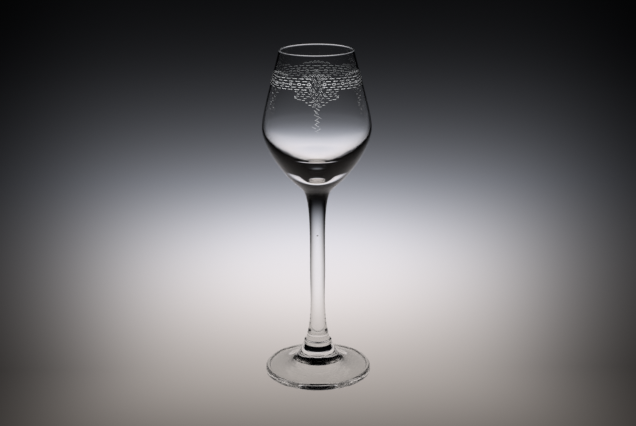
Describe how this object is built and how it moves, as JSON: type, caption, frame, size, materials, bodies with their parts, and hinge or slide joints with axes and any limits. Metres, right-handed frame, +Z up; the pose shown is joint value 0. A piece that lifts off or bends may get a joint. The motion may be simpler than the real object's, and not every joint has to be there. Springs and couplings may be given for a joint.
{
  "type": "cordial glass",
  "caption": "Stemmed cordial glass: a tulip bowl with a thick base on a slim drawn stem and a round foot, for sipping small measures.",
  "frame": {"origin": "middle of the foot's underside, on the surface that the glass stands on", "axes": "+Z up along the stem towards the mouth of the bowl; the glass is round, so +X and +Y are free"},
  "size_m": [0.052, 0.052, 0.16],
  "materials": {
    "bowl_glass": "clear blown glass, fire-polished lip, needle-etched band",
    "stem_glass": "clear drawn glass, polished",
    "foot_glass": "clear spun glass, fire-polished bead round the edge"
  },
  "bodies": {
    "root": {"bowl": "bowl_glass", "stem": "stem_glass", "foot": "foot_glass"}
  },
  "joints": []
}
